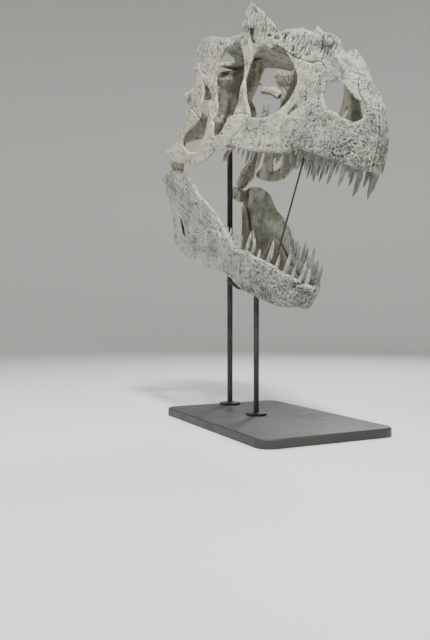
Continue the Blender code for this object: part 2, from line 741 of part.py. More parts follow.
def build_braincase():
    """Back of the skull with its condyle and its two side wings."""
    rings = []
    for x, half, low, high in ((24, 50, 208, 338), (40, 54, 196, 350), (72, 46, 186, 349),
                               (104, 36, 176, 348),
                               (150, 30, 190, 350), (196, 24, 240, 364), (236, 15, 284, 367)):
        waist = low + (high - low) * 0.42
        rings.append([(x, -half * 0.66, waist), (x, -half * 0.5, low + 14), (x, -half * 0.2, low),
                      (x, half * 0.2, low),
                      (x, half * 0.5, low + 14), (x, half * 0.66, waist), (x, half, high - 34),
                      (x, half * 0.82, high - 10),
                      (x, half * 0.3, high), (x, -half * 0.3, high), (x, -half * 0.82, high - 10),
                      (x, -half, high - 34)])
    body = loft("braincase", rings)
    others = [ball("condyle", (18, 0, 222), (24, 24, 21))]
    for sign in (-1.0, 1.0):
        others.append(tube("wing", [((60, sign * 20, 282), 12, 30, (1, 0, 0)), ((34, sign * 62, 276), 10,
                                                                                28, (1, 0, 0)),
                                    ((12, sign * 104, 256), 8, 24, (1, 0, 0)),
                                    ((2, sign * 132, 236), 6, 17, (1, 0, 0))]))
        others.append(tube("tuber", [((72, sign * 14, 200), 15, 15, (1, 0, 0)), ((62, sign * 22, 160), 13,
                                                                                 13, (1, 0, 0)),
                                     ((60, sign * 24, 150), 7, 7, (1, 0, 0))]))
        others.append(tube("pterygoid_foot", [((118, sign * 12, 200), 13, 14, (1, 0, 0)),
                                              ((136, sign * 26, 166), 11, 11, (1, 0, 0)),
                                              ((146, sign * 35, 146), 8, 8, (1, 0, 0))]))
    return fuse("braincase", body, others)


def build_quadrate():
    """Pillar from the jaw joint up to the squamosal, with its flange inward."""
    shaft = [((12, -121, -6), 15, 18, (1, 0, 0)), ((12, -124, 10), 18, 21, (1, 0, 0)),
             ((16, -135, 34), 16, 30, (1, 0, 0)), ((34, -137, 80), 10, 17, (1, 0, 0)),
             ((52, -134, 140), 9, 14, (1, 0, 0)), ((66, -132, 200), 9, 13, (1, 0, 0)),
             ((78, -130, 250), 11, 13, (1, 0, 0)), ((82, -128, 282), 9, 10, (1, 0, 0))]
    knob = ball("quadrate_knob", (13, -120, 0), (15, 19, 15))
    flange = tube("quadrate_flange", [((44, -132, 150), 6, 62, (0, 1, 0)), ((84, -104, 152), 4, 50,
                                                                            (0, 1, 0)),
                                      ((118, -82, 150), 3, 34, (0, 1, 0))])
    return fuse("quadrate", tube("quadrate", shaft, 10), [knob, flange])


def build_pterygoid():
    """Long rod of the palate, with the wing that goes down to the cheek."""
    spine = [((118, -74, 150), 4, 26, (0, 1, 0)), ((150, -52, 150), 5, 22, (0, 1, 0)),
             ((190, -40, 146), 6, 18, (0, 1, 0)),
             ((250, -34, 136), 8, 20, (0, 1, 0)), ((320, -28, 132), 6, 16, (0, 1, 0)),
             ((400, -22, 134), 5, 16, (0, 1, 0)),
             ((480, -15, 130), 4, 12, (0, 1, 0)), ((566, -9, 118), 3, 8, (0, 1, 0))]
    wing = tube("pterygoid_wing", [((262, -36, 132), 15, 9, (1, 0, 0)), ((266, -62, 104), 15, 7, (1, 0, 0)),
                                   ((270, -78, 66), 13, 6, (1, 0, 0)), ((272, -84, 44), 8, 5, (1, 0, 0))])
    return fuse("pterygoid", tube("pterygoid", spine), [wing])


def build_ectopterygoid():
    """Hooked strut between the palate and the cheek."""
    spine = [((286, -84, 82), 9, 12, (1, 0, 0)), ((294, -96, 108), 12, 9, (1, 0, 0)),
             ((306, -112, 112), 12, 8, (1, 0, 0)),
             ((316, -124, 102), 10, 12, (1, 0, 0))]
    return tube("ectopterygoid", spine)


def build_palatine():
    """Plate of the palate beside the inner nostril."""
    spine = [((418, -27, 128), 16, 4, (1, 0, 0)), ((422, -56, 130), 28, 5, (1, 0, 0)),
             ((438, -76, 126), 36, 5, (1, 0, 0)), ((445, -86, 120), 38, 4, (1, 0, 0))]
    return tube("palatine", spine)


def build_vomer():
    """Blade along the middle of the palate."""
    spine = [((548, 0, 118), 5, 7, (0, 1, 0)), ((620, 0, 112), 6, 9, (0, 1, 0)),
             ((700, 0, 100), 8, 8, (0, 1, 0)),
             ((770, 0, 90), 11, 6, (0, 1, 0)), ((839, 0, 78), 9, 5, (0, 1, 0))]
    return tube("vomer", spine)


def build_dentary():
    """Tooth bearing bone of the lower jaw."""
    outline = list(DENTARY_REAR)
    outline += [(502, -111), (520, -106), (548, -103), (572, -106), (593, -106), (616, -102), (637, -97),
                (660, -92),
                (685, -86), (710, -79), (733, -69), (752, -57), (766, -47)]
    outline += [(table(JAW_PROFILE, z), z) for z in (-39, -25, -8, 8, 27)]
    outline += [(776, 26), (766, 21), (752, 24), (740, 20), (727, 17), (706, 14), (690, 10),
                (671, 13), (650, 10), (625, 5), (593, -1), (568, -2), (548, -10), (527, -19), (507, -15),
                (487, -10),
                (460, -3)]
    body = plate("dentary", JAW, outline, step=28.0)
    rows = [(441, 2, 14, 8, -6), (456, -1, 17, 8, -8), (472, -5, 25, 9, -10), (488, -10, 31, 10, -12),
            (507, -15, 44, 12, -14), (531, -17, 44, 13, -15), (559, -6, 60, 15, -17),
            (584, -1, 48, 14, -16),
            (612, 3, 27, 12, -10), (644, 9, 64, 17, -18), (674, 12, 38, 14, -12), (703, 14, 56, 18, -14),
            (728, 17, 33, 13, -9), (750, 23, 54, 15, -12), (770, 22, 46, 13, -10)]
    return fuse("dentary", body, tooth_row("dentary_tooth", JAW, rows, False, 9))


def build_surangular():
    """Upper rear bone of the lower jaw."""
    outline = list(reversed(DENTARY_REAR[:1])) + [(405, 14), (375, 19), (346, 22), (310, 24), (275, 22),
                                                  (250, 24),
                                                  (226, 30), (203, 35), (180, 39), (160, 40), (128, 37),
                                                  (94, 30),
                                                  (60, 17), (30, 3), (0, -20), (-18, -34), (-34, -48),
                                                  (-18, -56),
                                                  (4, -54)]
    outline += list(reversed(SURANGULAR_ANGULAR_REAR))
    outline += [(182, -94), (204, -104), (224, -117), (236, -127)]
    outline += list(reversed(SURANGULAR_ANGULAR))
    return plate("surangular", JAW, outline, step=28.0)


def build_angular():
    """Lower rear bone of the lower jaw."""
    outline = list(SURANGULAR_ANGULAR)
    outline += [(228, -133), (210, -128), (190, -115), (176, -103)]
    outline += SURANGULAR_ANGULAR_REAR
    outline += [(24, -66), (52, -80), (80, -95), (106, -118), (133, -142), (149, -163), (164, -181),
                (186, -190),
                (210, -193), (240, -189), (272, -181), (304, -173), (336, -165), (370, -155), (402, -146),
                (432, -136),
                (460, -126)]
    outline += list(reversed(DENTARY_REAR[1:]))
    return plate("angular", JAW, outline, step=30.0)


def inner_plate(name, outline, depth, thick, step):
    """Plate lying against the inner face of the jaw's side."""
    loop = shrink([(JAW.unroll(x, z), z) for x, z in outline], SUTURE_GAP / 2.0)

    def outer(point, at_border):
        bare = JAW.place(*point)
        under = max(depth, JAW.thickness(bare.x, bare.z) + 2.6)
        return bare - JAW.normal(*point) * (under + (0.8 if at_border else 0.0))

    def inner(point, at_border):
        bare = JAW.place(*point)
        under = max(depth, JAW.thickness(bare.x, bare.z) + 2.6) + thick
        return bare - JAW.normal(*point) * (under - (2.0 if at_border else 0.0))

    return sheet(name, [loop], outer, inner, 5.0, step)


def build_splenial():
    """Thin plate on the inner side of the lower jaw."""
    outline = list(SPLENIAL_PREARTICULAR) + [(380, -32), (440, -36), (520, -42), (600, -34), (680, -30),
                                             (724, -31), (700, -52),
               (650, -76), (600, -88), (540, -90), (480, -100), (420, -122)]
    return inner_plate("splenial", outline, PLATE_THICK + 1.6, 8.0, 40.0)


def build_prearticular():
    """Inner strap of the rear of the lower jaw."""
    outline = list(reversed(SPLENIAL_PREARTICULAR)) + [(300, -150), (240, -168), (190, -168), (150, -142),
               (120, -112), (86, -88), (58, -74), (58, -50), (100, -58), (150, -84), (200, -112),
               (250, -118), (290, -84),
               (320, -50)]
    return inner_plate("prearticular", outline, PLATE_THICK + 4.0, 9.0, 40.0)


def build_articular():
    """Cup of the jaw joint."""
    rings = []
    for x, inside, outside, low, high in ((-34, 114, 139, -56, -46), (-18, 107, 139, -57, -32),
                                          (-4, 102, 139, -57, -17), (14, 100, 139, -56, -15.8),
                                          (32, 103, 138, -54, -14), (46, 107, 137, -52, -18),
                                          (54, 110, 136, -50, -32)):
        rings.append([(x, -outside, low), (x, -outside, high), (x, -inside, high), (x, -inside, low)])
    return loft("articular", rings)


def rounded_box(name, size, corner, height, bevel):
    """Flat slab with rounded corners and a fine top edge, standing on Z 0."""
    rings = []
    for z, cut in ((0.0, 0.0), (height - bevel, 0.0), (height, bevel)):
        ring = []
        for sx, sy, start in ((1, 1, 0), (-1, 1, 90), (-1, -1, 180), (1, -1, 270)):
            for k in range(5):
                angle = math.radians(start + k * 22.5)
                ring.append((sx * (size[0] / 2 - corner) + (corner - cut) * math.cos(angle),
                             sy * (size[1] / 2 - corner) + (corner - cut) * math.sin(angle), z))
        rings.append(ring)
    return loft(name, rings)


def in_part(pose, point):
    """Millimetre point of the part's frame for a posed point."""
    return (pose @ Vector(point)) * 1000.0


def post(name, x, y, low, high, radius, foot, sides=20):
    """Upright rod with a wider foot flange."""
    rings = []
    for z, r in ((low, foot), (low + 6.0, foot), (low + 9.0, radius), (high, radius)):
        rings.append([(x + r * math.cos(2 * math.pi * k / sides),
                       y + r * math.sin(2 * math.pi * k / sides), z)
                      for k in range(sides)])
    return loft(name, rings)


def add_stand():
    """Base, rear rod with a cup under the braincase, front rod with a yoke under the jaw, and jaw strut."""
    def place(name, mesh, look):
        mesh.materials.clear()
        mesh.materials.append(look)
        new_object(name, mesh, stand).matrix_world = STAND_POSE

    place("stand_base", rounded_box("stand_base", (BASE_LENGTH, BASE_WIDTH), BASE_CORNER, BASE_THICK,
                                    3.0), STAND_PAINT)
    seat = in_part(POSE, (96, 0, 167))
    rear = post("stand_rear_rod", seat.x, seat.y, BASE_THICK + 0.3, seat.z - 8.0, REAR_ROD_RADIUS, 34.0)
    cup = tube("stand_cup", [((seat.x, seat.y, seat.z - 20), 8, 8, (1, 0, 0)),
                             ((seat.x, seat.y, seat.z - 8), 15, 11, (1, 0, 0)),
                             ((seat.x, seat.y, seat.z - 1.5), 16, 9, (1, 0, 0))], 12)
    place("stand_rear_rod", fuse("stand_rear_rod", rear, [cup]), STAND_STEEL)
    yoke_r = in_part(JAW_POSE, (520, -94, -112))
    yoke_l = in_part(JAW_POSE, (520, 94, -112))
    middle = (yoke_r + yoke_l) / 2.0
    front = post("stand_front_rod", middle.x, middle.y, BASE_THICK + 0.3, middle.z - 16.0,
                 FRONT_ROD_RADIUS, 30.0)
    arm = tube("stand_yoke", [((yoke_r.x, yoke_r.y, yoke_r.z - 6), 7, 5, (1, 0, 0)),
                              ((middle.x, middle.y - 60, middle.z - 18), 7, 6, (1, 0, 0)),
                              ((middle.x, middle.y, middle.z - 22), 8, 8, (1, 0, 0)),
                              ((middle.x, middle.y + 60, middle.z - 18), 7, 6, (1, 0, 0)),
                              ((yoke_l.x, yoke_l.y, yoke_l.z - 6), 7, 5, (1, 0, 0))], 10)
    place("stand_front_rod", fuse("stand_front_rod", front, [arm]), STAND_STEEL)
    top = in_part(POSE, (667, -58, 60))
    low = in_part(JAW_POSE, (659, -56, 12))
    place("stand_jaw_strut", tube("stand_jaw_strut", [(tuple(top), 2.5, 2.5, (1, 0, 0)),
                                                      (tuple(low), 2.5, 2.5, (1, 0, 0))], 10),
          STAND_STEEL)


CREST_RIGHT = [(430, 384), (462, 393), (509, 391), (545, 385), (580, 373), (612, 358), (621, 355),
               (632, 362),
               (642, 364), (660, 358), (678, 349), (694, 335), (708, 319), (721, 296), (735, 278),
               (748, 266)]
CREST_LEFT = [(430, 382), (462, 385), (509, 375), (545, 360), (580, 347), (617, 341), (642, 345),
              (660, 336),
              (678, 324), (703, 304), (719, 288), (735, 275), (748, 266)]

bone("premaxilla", build_premaxilla(), POSE, UPPER_BONE)
bone("maxilla", build_maxilla(), POSE, UPPER_BONE)
nasal_right = build_nasal("nasal_right", CREST_RIGHT)
nasal_right.materials.append(UPPER_BONE)
new_object("nasal_r", nasal_right, bones).matrix_world = POSE
nasal_left = build_nasal("nasal_left", CREST_LEFT)
nasal_left.materials.append(UPPER_BONE)
new_object("nasal_l", nasal_left, bones).matrix_world = POSE @ MIRROR
bone("lacrimal", build_lacrimal(), POSE, UPPER_BONE)
bone("jugal", build_jugal(), POSE, UPPER_BONE)
bone("quadratojugal", build_quadratojugal(), POSE, UPPER_BONE)
bone("squamosal", build_squamosal(), POSE, UPPER_BONE)
bone("postorbital", build_postorbital(), POSE, UPPER_BONE)
bone("quadrate", build_quadrate(), POSE, INNER_BONE)
bone("pterygoid", build_pterygoid(), POSE, INNER_BONE)
bone("ectopterygoid", build_ectopterygoid(), POSE, INNER_BONE)
bone("palatine", build_palatine(), POSE, INNER_BONE)
bone("skull_roof", build_skull_roof(), POSE, UPPER_BONE, False)
bone("braincase", build_braincase(), POSE, INNER_BONE, False)
bone("vomer", build_vomer(), POSE, INNER_BONE, False)
bone("dentary", build_dentary(), JAW_POSE, LOWER_BONE)
bone("splenial", build_splenial(), JAW_POSE, INNER_BONE)
bone("surangular", build_surangular(), JAW_POSE, LOWER_BONE)
bone("angular", build_angular(), JAW_POSE, LOWER_BONE)
bone("prearticular", build_prearticular(), JAW_POSE, INNER_BONE)
bone("articular", build_articular(), JAW_POSE, INNER_BONE)
add_stand()
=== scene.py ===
"""Looks of the theropod skull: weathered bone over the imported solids, with stand, floor, light and camera."""
import json
import math

import bpy
import numpy as np
from mathutils import Matrix, Vector


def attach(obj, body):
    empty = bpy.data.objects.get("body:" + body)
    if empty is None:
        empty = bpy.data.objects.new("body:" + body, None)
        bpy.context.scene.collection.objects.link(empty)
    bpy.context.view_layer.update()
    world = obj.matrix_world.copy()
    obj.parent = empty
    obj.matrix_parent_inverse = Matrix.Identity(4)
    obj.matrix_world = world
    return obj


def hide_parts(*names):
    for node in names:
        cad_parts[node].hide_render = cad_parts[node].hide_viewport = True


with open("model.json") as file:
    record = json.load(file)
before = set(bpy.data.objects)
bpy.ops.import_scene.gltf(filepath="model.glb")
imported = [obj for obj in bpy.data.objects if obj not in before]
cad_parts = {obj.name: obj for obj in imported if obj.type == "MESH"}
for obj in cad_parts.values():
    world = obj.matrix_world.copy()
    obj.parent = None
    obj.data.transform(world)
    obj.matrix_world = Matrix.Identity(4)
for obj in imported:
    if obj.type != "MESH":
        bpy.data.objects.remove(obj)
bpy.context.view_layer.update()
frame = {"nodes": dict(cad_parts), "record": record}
NODES = frame["nodes"]
scene = bpy.context.scene

# Pose of the skull in the row frame, as the part has it
SKULL_PITCH_DEG = 13.2
SKULL_ROLL_DEG = -4.6
JAW_GAPE_DEG = 20.8
JOINT = (-0.404, 0.0, 0.79)
JAW_PIVOT = (0.015, 0.0, 0.0)

POSE = (Matrix.Translation(JOINT) @ Matrix.Rotation(math.radians(SKULL_PITCH_DEG), 4, "Y")
        @ Matrix.Rotation(math.radians(SKULL_ROLL_DEG), 4, "X"))
JAW_POSE = (POSE @ Matrix.Translation(JAW_PIVOT) @ Matrix.Rotation(math.radians(JAW_GAPE_DEG), 4, "Y")
            @ Matrix.Translation([-c for c in JAW_PIVOT]))

# Voxel sizes of the dressed surfaces, in metres: outer bones and inner bones
FINE = 0.00222
COARSE = 0.0031

# Height of the gum line against X, in the skull's own millimetres
UPPER_MARGIN = [(384, 82), (408, 79), (432, 74), (458, 70), (483, 68), (586, 67), (632, 71), (674, 78),
                (692, 73),
                (732, 63), (779, 57), (790, 53), (822, 48), (850, 40), (864, 38)]
LOWER_MARGIN = [(433, 5), (460, -3), (487, -10), (507, -15), (527, -19), (548, -10), (568, -2), (593, -1),
                (625, 5),
                (650, 10), (671, 13), (690, 10), (706, 14), (727, 17), (740, 20), (752, 24), (766,
                                                                                              21), (785, 26)]

JAW_BONES = ("dentary", "surangular", "angular", "splenial", "prearticular", "articular")


def lerp_table(points, values):
    """Value of a table of (x, value) points at each given x."""
    xs = np.array([p[0] for p in points], float)
    ys = np.array([p[1] for p in points], float)
    return np.interp(values, xs, ys)


def step(low, high, values):
    """Smooth rise from 0 at low to 1 at high."""
    t = np.clip((values - low) / (high - low), 0.0, 1.0)
    return t * t * (3.0 - 2.0 * t)


# Seeded gradient noise, evaluated for a whole mesh at once
SHUFFLE = np.random.RandomState(7).permutation(256)
GRADIENTS = np.random.RandomState(11).normal(size=(256, 3))
GRADIENTS /= np.linalg.norm(GRADIENTS, axis=1)[:, None]


def noise(points, scale, offset=0.0):
    """Gradient noise of about -0.7 to 0.7, with features of the given size in millimetres, one or three."""
    p = points / np.array(scale, float) + offset
    cell = np.floor(p).astype(int)
    f = p - cell
    blend = f * f * f * (f * (f * 6.0 - 15.0) + 10.0)
    total = np.zeros(len(p))
    for dx in (0, 1):
        for dy in (0, 1):
            for dz in (0, 1):
                corner = cell + (dx, dy, dz)
                h = SHUFFLE[(corner[:, 0]) & 255]
                h = SHUFFLE[(h + corner[:, 1]) & 255]
                h = SHUFFLE[(h + corner[:, 2]) & 255]
                g = (GRADIENTS[h] * (f - (dx, dy, dz))).sum(1)
                w = (np.where(dx, blend[:, 0], 1 - blend[:, 0]) * np.where(dy, blend[:, 1], 1 - blend[:, 1])
                     * np.where(dz, blend[:, 2], 1 - blend[:, 2]))
                total += g * w
    return total * 1.5


def fractal(points, scale, octaves=3, offset=0.0):
    """Sum of noise at finer and finer sizes, each weaker than the last."""
    total = np.zeros(len(points))
    size = np.array(scale, float)
    gain = 1.0
    for octave in range(octaves):
        total += noise(points, size, offset + 17.3 * octave) * gain
        size = size / 2.1
        gain *= 0.55
    return total


class Surface:
    """A fine copy of one CAD bone, with its points and normals in the skull's own millimetres."""

    def __init__(self, node, voxel):
        """Fine voxel copy of the node's solid."""
        self.node = node
        self.kind = node.rsplit("_", 1)[0] if node[-2:] in ("_l", "_r") else node
        pose = JAW_POSE if self.kind in JAW_BONES else POSE
        self.to_world = np.array(pose)
        self.to_local = np.linalg.inv(self.to_world)
        rough = NODES[node].data.copy()
        piece = bpy.data.objects.new(node + "_surface", rough)
        scene.collection.objects.link(piece)
        remesh = piece.modifiers.new("fine", "REMESH")
        remesh.mode = "VOXEL"
        remesh.voxel_size = voxel
        bpy.context.view_layer.update()
        fine = bpy.data.meshes.new_from_object(piece.evaluated_get(bpy.context.evaluated_depsgraph_get()))
        piece.modifiers.clear()
        piece.data = fine
        bpy.data.meshes.remove(rough)
        self.piece = piece
        self.mesh = fine
        count = len(fine.vertices)
        co = np.zeros(count * 3, np.float32)
        fine.vertices.foreach_get("co", co)
        world = co.reshape(-1, 3).astype(float)
        edges = np.zeros(len(fine.edges) * 2, np.int32)
        fine.edges.foreach_get("vertices", edges)
        self.edges = edges.reshape(-1, 2)
        self.degree = np.maximum(1.0, np.bincount(self.edges.ravel(), minlength=count).astype(float))
        self.q = (world @ self.to_local[:3, :3].T + self.to_local[:3, 3]) * 1000.0
        self.n = self.normals(world) @ self.to_local[:3, :3].T
        self.marks = {}

    def normals(self, world):
        """Unit normal at each vertex."""
        self.mesh.vertices.foreach_set("co", world.astype(np.float32).ravel())
        self.mesh.update()
        n = np.zeros(len(world) * 3, np.float32)
        self.mesh.vertex_normals.foreach_get("vector", n)
        return n.reshape(-1, 3).astype(float)

    def spread(self, values, rounds=1):
        """Values averaged over each point's neighbours."""
        v = np.array(values, float)
        a = self.edges[:, 0]
        b = self.edges[:, 1]
        for _ in range(rounds):
            if v.ndim == 1:
                total = np.bincount(a, v[b], len(v)) + np.bincount(b, v[a], len(v))
                v = 0.5 * v + 0.5 * total / self.degree
            else:
                total = np.stack([np.bincount(a, v[b, k], len(v)) + np.bincount(b, v[a, k], len(v))
                                  for k in range(v.shape[1])], 1)
                v = 0.5 * v + 0.5 * total / self.degree[:, None]
        return v

    def raise_by(self, height):
        """Move each vertex along its normal by a height in millimetres."""
        self.q = self.q + self.n * height[:, None]

    def refresh(self):
        """Write the moved points to the mesh, read its normals again, and give the points in metres."""
        world = (self.q / 1000.0) @ self.to_world[:3, :3].T + self.to_world[:3, 3]
        self.n = self.normals(world) @ self.to_local[:3, :3].T
        return world

    def mark(self, name, values):
        """Store one value per vertex, held between 0 and 1, for the material."""
        layer = self.mesh.attributes.new(name, "FLOAT", "POINT")
        layer.data.foreach_set("value", np.clip(values, 0.0, 1.0).astype(np.float32))

    def pits(self, seed, number, radius, depth, where, stretch=(1.0, 1.0, 1.0)):
        """Seeded pits at random points of the masked surface, stretched along the skull's axes."""
        draw = np.random.RandomState(seed)
        height = np.zeros(len(self.q))
        spots = np.flatnonzero(where > 0.5)
        if not len(spots):
            return height
        lengths = np.array(stretch, float)
        for _ in range(number):
            centre = self.q[spots[draw.randint(len(spots))]]
            r = radius * draw.uniform(0.6, 1.5)
            d = depth * draw.uniform(0.5, 1.2)
            near = np.abs(self.q - centre).max(1) < r * 3.0 * lengths.max()
            away = np.linalg.norm((self.q[near] - centre) / lengths, axis=1) / r
            height[near] -= d * (np.exp(-away ** 2) - 0.22 * np.exp(-((away - 1.7) / 0.5) ** 2))
        return height

    def holes(self, spots, radius, depth, angle=0.0, long=1.6):
        """Oval holes at chosen X, Z places on the outer side."""
        height = np.zeros(len(self.q))
        side = 1.0 if self.q[:, 1].mean() > 0 else -1.0
        facing = (self.n[:, 1] * side) > 0.2
        c, s = math.cos(math.radians(angle)), math.sin(math.radians(angle))
        for index, (x, z) in enumerate(spots):
            dx = self.q[:, 0] - x
            dz = self.q[:, 2] - z
            size = radius * (0.8 + 0.4 * ((index * 7) % 5) / 4.0)
            u = (dx * c + dz * s) / (size * long)
            v = (-dx * s + dz * c) / size
            away = np.sqrt(u * u + v * v)
            raised = 0.15 * np.exp(-((away - 1.6) / 0.4) ** 2)
            height -= np.where(facing, depth * (np.exp(-away ** 2.4) - raised), 0.0)
        return height


def weather(node):
    """Fine surface of one bone: waves, ridges, pits, holes and worn edges, with its colour marks."""
    inner = node.split("_")[0] in ("quadrate", "pterygoid", "ectopterygoid", "palatine", "braincase", "vomer",
                                   "splenial", "prearticular", "articular")
    s = Surface(node, COARSE if inner else FINE)
    q = s.q.copy()
    kind = s.kind
    side = -1.0 if node.endswith("_r") else 1.0
    x, y, z = q[:, 0], q[:, 1] * side, q[:, 2]
    outward = step(-0.1, 0.35, s.n[:, 1] * side + 0.3 * np.maximum(0, s.n[:, 2]))
    if kind in ("skull_roof", "braincase", "vomer"):
        outward = np.ones(len(q))
    seed = sum(ord(c) for c in node)

    teeth = np.zeros(len(q))
    if kind in ("maxilla", "premaxilla"):
        teeth = step(-0.5, 2.5, lerp_table(UPPER_MARGIN, x) - z)
    elif kind == "dentary":
        teeth = step(-0.5, 2.5, z - lerp_table(LOWER_MARGIN, x)) * (x > 436)
    bone = 1.0 - teeth

    # Rugged areas: the crests, the horns, the snout's front and the chin
    rugged = np.zeros(len(q))
    if kind == "nasal":
        rugged = 0.45 + 0.55 * step(300, 345, z)
    elif kind == "premaxilla":
        rugged = 0.55 + 0.3 * step(0.1, 0.5, noise(q, 40.0, 3.0))
    elif kind == "maxilla":
        rugged = 0.25 + 0.6 * step(560, 740, x) * step(210, 110, z) + 0.25 * step(115, 75, z)
    elif kind == "lacrimal":
        rugged = 0.25 + 0.75 * step(330, 375, z)
    elif kind == "postorbital":
        rugged = 0.3 + 0.6 * step(290, 340, z)
    elif kind == "skull_roof":
        rugged = np.full(len(q), 0.4)
    elif kind == "dentary":
        rugged = 0.15 + 0.6 * step(600, 740, x)
    elif kind == "surangular":
        rugged = np.full(len(q), 0.3)
    elif kind in ("jugal", "quadratojugal", "squamosal", "angular"):
        rugged = np.full(len(q), 0.2)
    else:
        rugged = np.full(len(q), 0.12)

    # Broad waves and middle lumps
    height = 0.9 * fractal(q, 46.0, 2, 1.0) + 0.7 * fractal(q, 19.0, 2, 5.0) * (0.35 + rugged)
    # Sharp creases in the rugged areas
    crease = 1.0 - np.abs(fractal(q, (15.0, 15.0, 34.0), 2, 9.0)) * 2.4
    height += rugged * 1.7 * (np.clip(crease, -0.2, 1.0) ** 2 - 0.45)
    height += rugged * 0.8 * fractal(q, 6.5, 2, 13.0) + 0.22 * noise(q, 6.0, 21.0)
    if kind == "nasal":
        ridge = 1.0 - np.abs(noise(q, (11.0, 16.0, 60.0), 31.0)) * 3.2
        height += 3.2 * step(285, 345, z) * (np.clip(ridge, 0.0, 1.0) - 0.5)
        height += 2.2 * step(325, 360, z) * fractal(q, (9.0, 12.0, 14.0), 2, 33.0)
        height += s.pits(seed, 46, 4.6, 3.4, bone * outward * step(280, 315, z), (0.8, 1.0, 1.9))
        height += s.holes([(552, 326), (612, 306)], 6.0, 5.0, 80.0, 1.8)
    if kind == "lacrimal":
        ridge = 1.0 - np.abs(noise(q, (9.0, 16.0, 70.0), 35.0)) * 3.2
        height += 2.4 * step(320, 370, z) * (np.clip(ridge, 0.0, 1.0) - 0.5)
        height += s.holes([(371, 372), (369, 394)], 4.2, 6.5, 84.0, 3.0)
        height += s.holes([(452, 371), (484, 361)], 6.0, 5.0, -15.0, 2.0)
    if kind in ("premaxilla", "dentary", "maxilla"):
        front = step(560, 700, x)
        height += s.pits(seed + 1, 60, 2.2, 1.6, bone * outward * (front + 0.15), (1.5, 1, 1))
        tangle = np.abs(fractal(q, (11.0, 9.0, 7.0), 3, 47.0))
        height -= 1.8 * outward * bone * (0.25 + 0.75 * front) * np.exp(-(tangle / 0.11) ** 2)
        height += s.pits(seed + 2, 26, 4.2, 1.5, bone * outward * (front + 0.3), (1.5, 1, 0.9))
        vein = np.abs(noise(q, (42.0, 42.0, 20.0), 41.0) + 0.3 * noise(q, 12.0, 43.0))
        height -= 1.1 * outward * front * np.exp(-(vein / 0.05) ** 2)
    if kind == "maxilla":
        row = [(398 + 12.6 * k + 3.0 * math.sin(k * 4.1), 84 - 0.012 * (12.6 * k) + 2.6 * math.sin(k * 2.3))
               for k in range(20)]
        height += s.holes(row, 2.1, 2.8, -12.0, 1.3)
        upper = [(420 + 23.0 * k + 5.0 * math.sin(k * 3.3), 96 + 0.16 * (23.0 * k) + 4.0 * math.sin(k * 1.7))
                 for k in range(6)]
        height += s.holes(upper, 2.2, 2.6, -25.0, 1.7)
        # Sculpted shelf under the nostril, and the hollow in front of the big window
        height -= 3.2 * outward * np.exp(-((x - 735) / 30.0) ** 2 - ((z - 148) / 10.0) ** 2)
        height -= 3.0 * outward * np.exp(-((x - 640) / 22.0) ** 2 - ((z - 212) / 26.0) ** 2)
        # Each socket swells a little above its tooth
        swell = 0.5 + 0.5 * np.cos((x - 400.0) / 23.0 * 2 * math.pi)
        height += outward * 1.3 * swell * step(112, 82, z) * step(760, 720, x)
    if kind == "premaxilla":
        height -= 3.0 * outward * np.exp(-((x - 800) / 34.0) ** 2 - ((z - 131) / 9.0) ** 2)
        height += s.holes([(838, 70), (824, 62), (812, 74), (798, 64), (786, 78), (845, 92), (820, 100)],
                          2.8, 3.0, 10.0)
    if kind == "dentary":
        row = [(470 + 24.0 * k, -24 + 0.16 * (24.0 * k) + 4.0 * math.sin(k * 1.9)) for k in range(13)]
        height += s.holes(row, 2.8, 3.2, 8.0)
        lower = [(520 + 33.0 * k, -62 + 0.15 * (33.0 * k)) for k in range(8)]
        height += s.holes(lower, 2.0, 2.2, 15.0)
        swell = 0.5 + 0.5 * np.cos((x - 445.0) / 24.0 * 2 * math.pi)
        height += outward * 1.1 * swell * step(-34, -10, z - lerp_table(LOWER_MARGIN, x) + 14.0) * bone
    if kind == "surangular":
        grain = noise(q, (70.0, 40.0, 5.5), 51.0) + 0.5 * noise(q, (40.0, 30.0, 3.2), 55.0)
        height += outward * 1.3 * grain * step(-20, 25, x)
        height += s.holes([(182, 4), (260, -8)], 5.0, 5.0, 0.0, 1.5)
    if kind in ("jugal", "quadratojugal", "squamosal", "postorbital", "angular"):
        grain = noise(q, (55.0, 40.0, 7.0), 61.0)
        height += outward * 0.6 * grain
        height += s.pits(seed + 3, 22, 3.0, 1.3, bone * outward, (1.4, 1, 1))
    if kind in ("postorbital", "squamosal"):
        groove = np.abs(noise(q, (14.0, 20.0, 90.0), 65.0))
        height -= 2.4 * outward * np.exp(-(groove / 0.07) ** 2)
    if kind == "jugal":
        height += s.holes([(300, 96), (338, 112)], 3.4, 3.2, 20.0)
    if inner:
        height += 0.6 * noise(q, (26.0, 9.0, 9.0), 71.0)
    if kind in JAW_BONES:
        height *= 0.35 + 0.65 * step(-30, 20, x)
    height *= bone
    # Enamel is smooth, with faint bands
    height += teeth * (0.25 * noise(q, (9.0, 9.0, 26.0), 81.0))
    # Broken flakes along the edges
    chip = step(0.18, 0.4, noise(q, 13.0, 91.0))
    rim = s.spread((s.spread(q, 3) - q), 1)
    curve = -(rim * s.n).sum(1)
    height -= bone * chip * step(0.05, 0.35, curve) * 1.4

    s.raise_by(height)
    s.refresh()
    s.q = s.q * 0.65 + s.spread(s.q, 1) * 0.35
    world = s.refresh()

